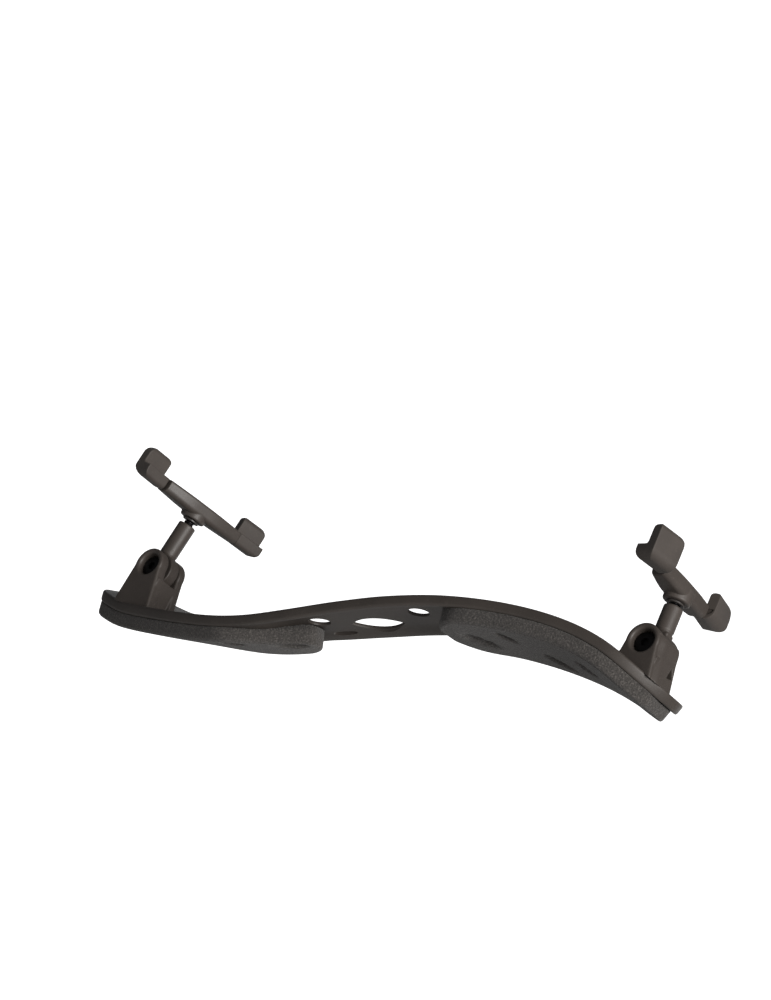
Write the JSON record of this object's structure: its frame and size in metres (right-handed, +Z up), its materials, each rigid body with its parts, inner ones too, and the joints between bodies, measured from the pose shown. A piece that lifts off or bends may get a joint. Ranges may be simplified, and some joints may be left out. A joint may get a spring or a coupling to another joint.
{
  "type": "violin shoulder rest",
  "caption": "Violin shoulder rest: a curved band with foam pads under it and, at each end, a tilting, height-adjustable leg whose fork grips the violin's edge.",
  "frame": {"origin": "half-way between the two forks, in the plane of the violin's back edge", "axes": "+X along the band from the chest end to the shoulder end, +Y away from the scroll towards the player's neck, +Z up towards the violin's back"},
  "size_m": [0.231, 0.0562, 0.0614],
  "materials": {
    "composite": "satin moulded composite",
    "foam": "closed-cell foam with a fine open skin",
    "plastic": "satin glass-filled plastic",
    "rubber": "matt soft rubber",
    "steel": "turned steel",
    "black_steel": "blackened steel",
    "brass": "turned brass",
    "nylon": "dark nylon"
  },
  "bodies": {
    "root": {"band": "composite", "chest_foam_pad": "foam", "shoulder_foam_pad": "foam", "left_tower": "plastic", "left_hinge_bolt": "black_steel", "left_hinge_nut": "steel", "left_front_friction_washer": "nylon", "left_rear_friction_washer": "nylon", "left_foot_screw_1": "steel", "left_foot_screw_2": "steel", "right_tower": "plastic", "right_hinge_bolt": "black_steel", "right_hinge_nut": "steel", "right_front_friction_washer": "nylon", "right_rear_friction_washer": "nylon", "right_foot_screw_1": "steel", "right_foot_screw_2": "steel"},
    "left_post_body": {"left_post": "plastic", "left_threaded_insert": "brass"},
    "left_lift": {"left_height_washer": "nylon"},
    "left_fork_body": {"left_fork": "plastic", "left_height_rod": "black_steel", "left_scroll_hook_sleeve": "rubber", "left_neck_hook_sleeve": "rubber"},
    "right_post_body": {"right_post": "plastic", "right_threaded_insert": "brass"},
    "right_lift": {"right_height_washer": "nylon"},
    "right_fork_body": {"right_fork": "plastic", "right_height_rod": "black_steel", "right_scroll_hook_sleeve": "rubber", "right_neck_hook_sleeve": "rubber"}
  },
  "joints": [
    {"name": "left_post_tilt", "type": "hinge", "parent": "root", "child": "left_post_body", "pos_m": [-0.0989, -0.001, -0.0272], "axis": [0.0698, 0.9976, 0], "range_deg": [-12, 12]},
    {"name": "left_fork_height", "type": "slide", "parent": "left_post_body", "child": "left_lift", "axis": [0.2159, -0.0151, 0.9763], "range_m": [-0.00075, 0.004]},
    {"name": "left_fork_turn", "type": "hinge", "parent": "left_lift", "child": "left_fork_body", "pos_m": [-0.09459, -0.0013, -0.0003], "axis": [0.2159, -0.0151, 0.9763], "range_deg": [-270.1, 1440.1]},
    {"name": "right_post_tilt", "type": "hinge", "parent": "root", "child": "right_post_body", "pos_m": [0.0957, 0.0038, -0.023], "axis": [0, 1, 0], "range_deg": [-12, 12]},
    {"name": "right_fork_height", "type": "slide", "parent": "right_post_body", "child": "right_lift", "axis": [0, 0, 1], "range_m": [-0.00075, 0.004]},
    {"name": "right_fork_turn", "type": "hinge", "parent": "right_lift", "child": "right_fork_body", "pos_m": [0.0973, 0.0038, -0.0002], "axis": [0, 0, 1], "range_deg": [-270.1, 1440.1]}
  ],
  "couplings": [
    {"joint": "left_fork_turn", "follows": "left_fork_height", "rad_per_m": 6283.2},
    {"joint": "right_fork_turn", "follows": "right_fork_height", "rad_per_m": 6283.2}
  ]
}
